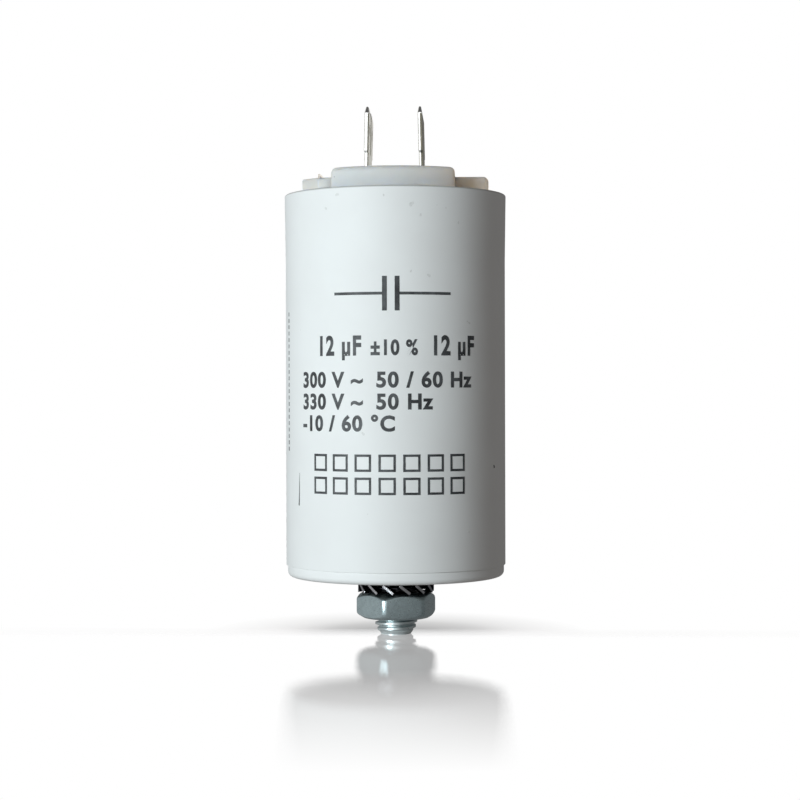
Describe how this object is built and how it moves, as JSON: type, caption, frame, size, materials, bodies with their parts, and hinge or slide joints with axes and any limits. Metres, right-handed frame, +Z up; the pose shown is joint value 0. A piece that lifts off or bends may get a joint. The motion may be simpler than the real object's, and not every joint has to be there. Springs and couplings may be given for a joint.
{
  "type": "motor run capacitor",
  "caption": "Round white plastic motor-run capacitor with double push-on tabs on its lid and a threaded mounting stud with lock washer and thin nut in its base.",
  "frame": {"origin": "centre of the case's base face, on the stud's axis", "axes": "+Z up the case towards the tabs, -Z out of the stud, -Y the front with the print, the tabs lie in planes across X"},
  "size_m": [0.0404, 0.0404, 0.0954],
  "materials": {
    "case_plastic": "matte moulded",
    "lid_plastic": "satin moulded",
    "tinned_brass": "tinned",
    "zinc_steel": "zinc plated",
    "spring_steel": "phosphated",
    "film": "metallised film",
    "core_plastic": "plain",
    "wrap_film": "clear film",
    "sprayed_zinc": "sprayed metal",
    "copper": "tinned strip",
    "sleeve_plastic": "glossy",
    "solder": "solder",
    "disc_board": "pressed board",
    "resin": "cast resin"
  },
  "bodies": {
    "body": {"case": "case_plastic", "lid": "lid_plastic", "terminal_left": "tinned_brass", "terminal_right": "tinned_brass", "film_roll": "film", "core_tube": "core_plastic", "roll_wrap": "wrap_film", "end_spray_top": "sprayed_zinc", "end_spray_bottom": "sprayed_zinc", "short_lead": "copper", "long_lead": "copper", "lead_sleeve": "sleeve_plastic", "solder_joints": "solder", "insulating_disc": "disc_board", "potting_resin": "resin", "stud_bolt": "zinc_steel"},
    "washer": {"lock_washer": "spring_steel"},
    "nut": {"hex_nut": "zinc_steel"}
  },
  "joints": [
    {"name": "washer_slide", "type": "slide", "parent": "body", "child": "washer", "axis": [0, 0, -1], "range_m": [-0.001, 0.002]},
    {"name": "nut_spin", "type": "hinge", "parent": "washer", "child": "nut", "pos_m": [0, 0, -0.0053], "axis": [0, 0, -1], "range_deg": [-360, 720]}
  ],
  "couplings": [
    {"joint": "washer_slide", "follows": "nut_spin", "m_per_rad": 0.00015915}
  ]
}
